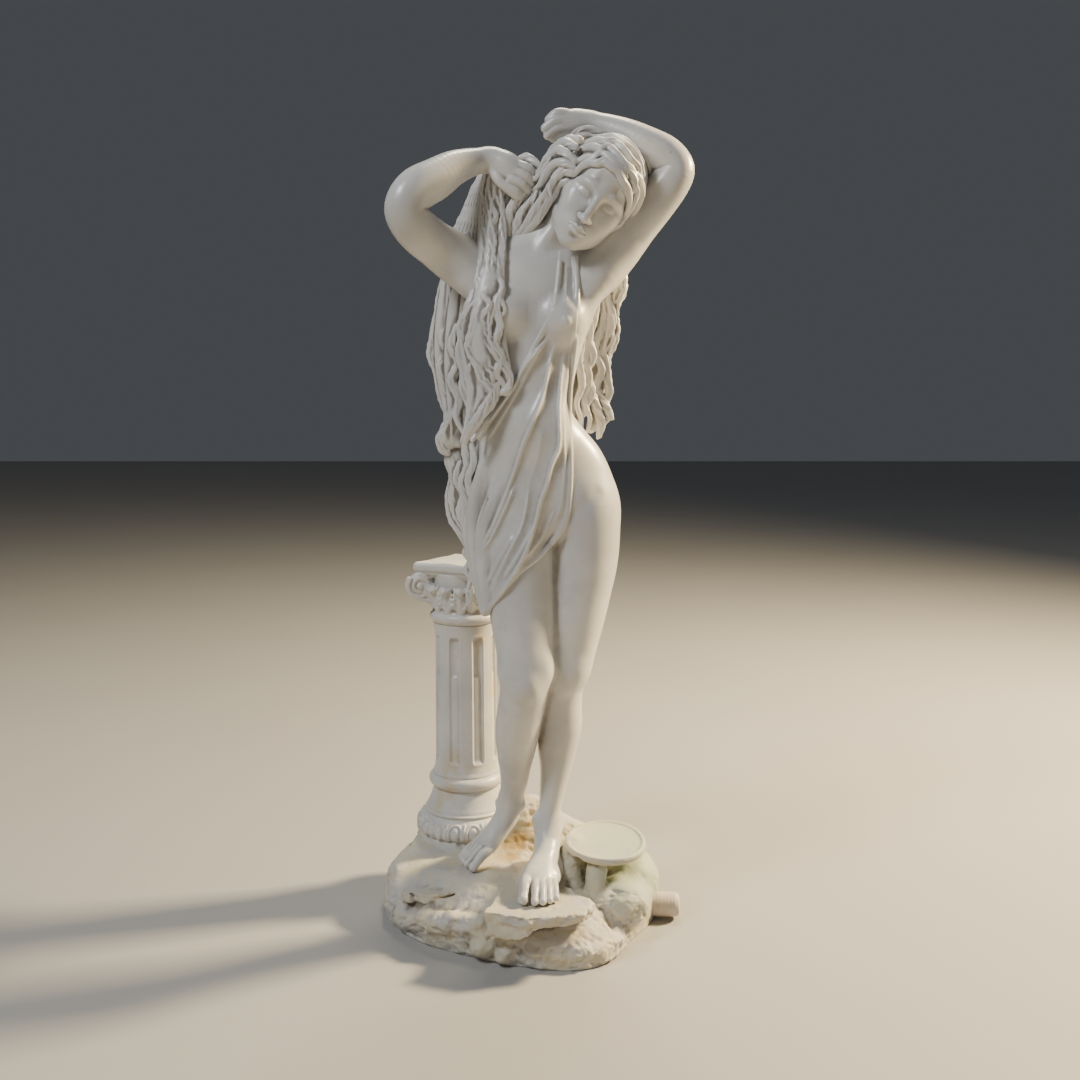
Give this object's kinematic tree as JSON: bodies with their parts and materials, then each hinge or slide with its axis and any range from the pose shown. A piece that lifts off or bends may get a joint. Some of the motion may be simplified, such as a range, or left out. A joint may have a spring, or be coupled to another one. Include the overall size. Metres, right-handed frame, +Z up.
{
  "type": "standing marble statue with plinth",
  "caption": "Standing Aphrodite with raised arms and long waving hair, thinly draped, beside a short fluted column, cast in one with a rocky plinth that carries a small dish and a pipe stub.",
  "frame": {"origin": "on the flat underside of the plinth, below the figure's trunk", "axes": "+Z up; the statue faces -Y, and the viewer who faces it has +X to the right"},
  "size_m": [0.2716, 0.2282, 0.6999],
  "materials": {
    "cast_marble": "white to pale grey cast marble, satin to glossy, yellowed with age in its hollows",
    "stub_plaster": "dull pinkish white"
  },
  "bodies": {
    "root": {"statue": "cast_marble", "pipe_stub": "stub_plaster"}
  },
  "joints": []
}
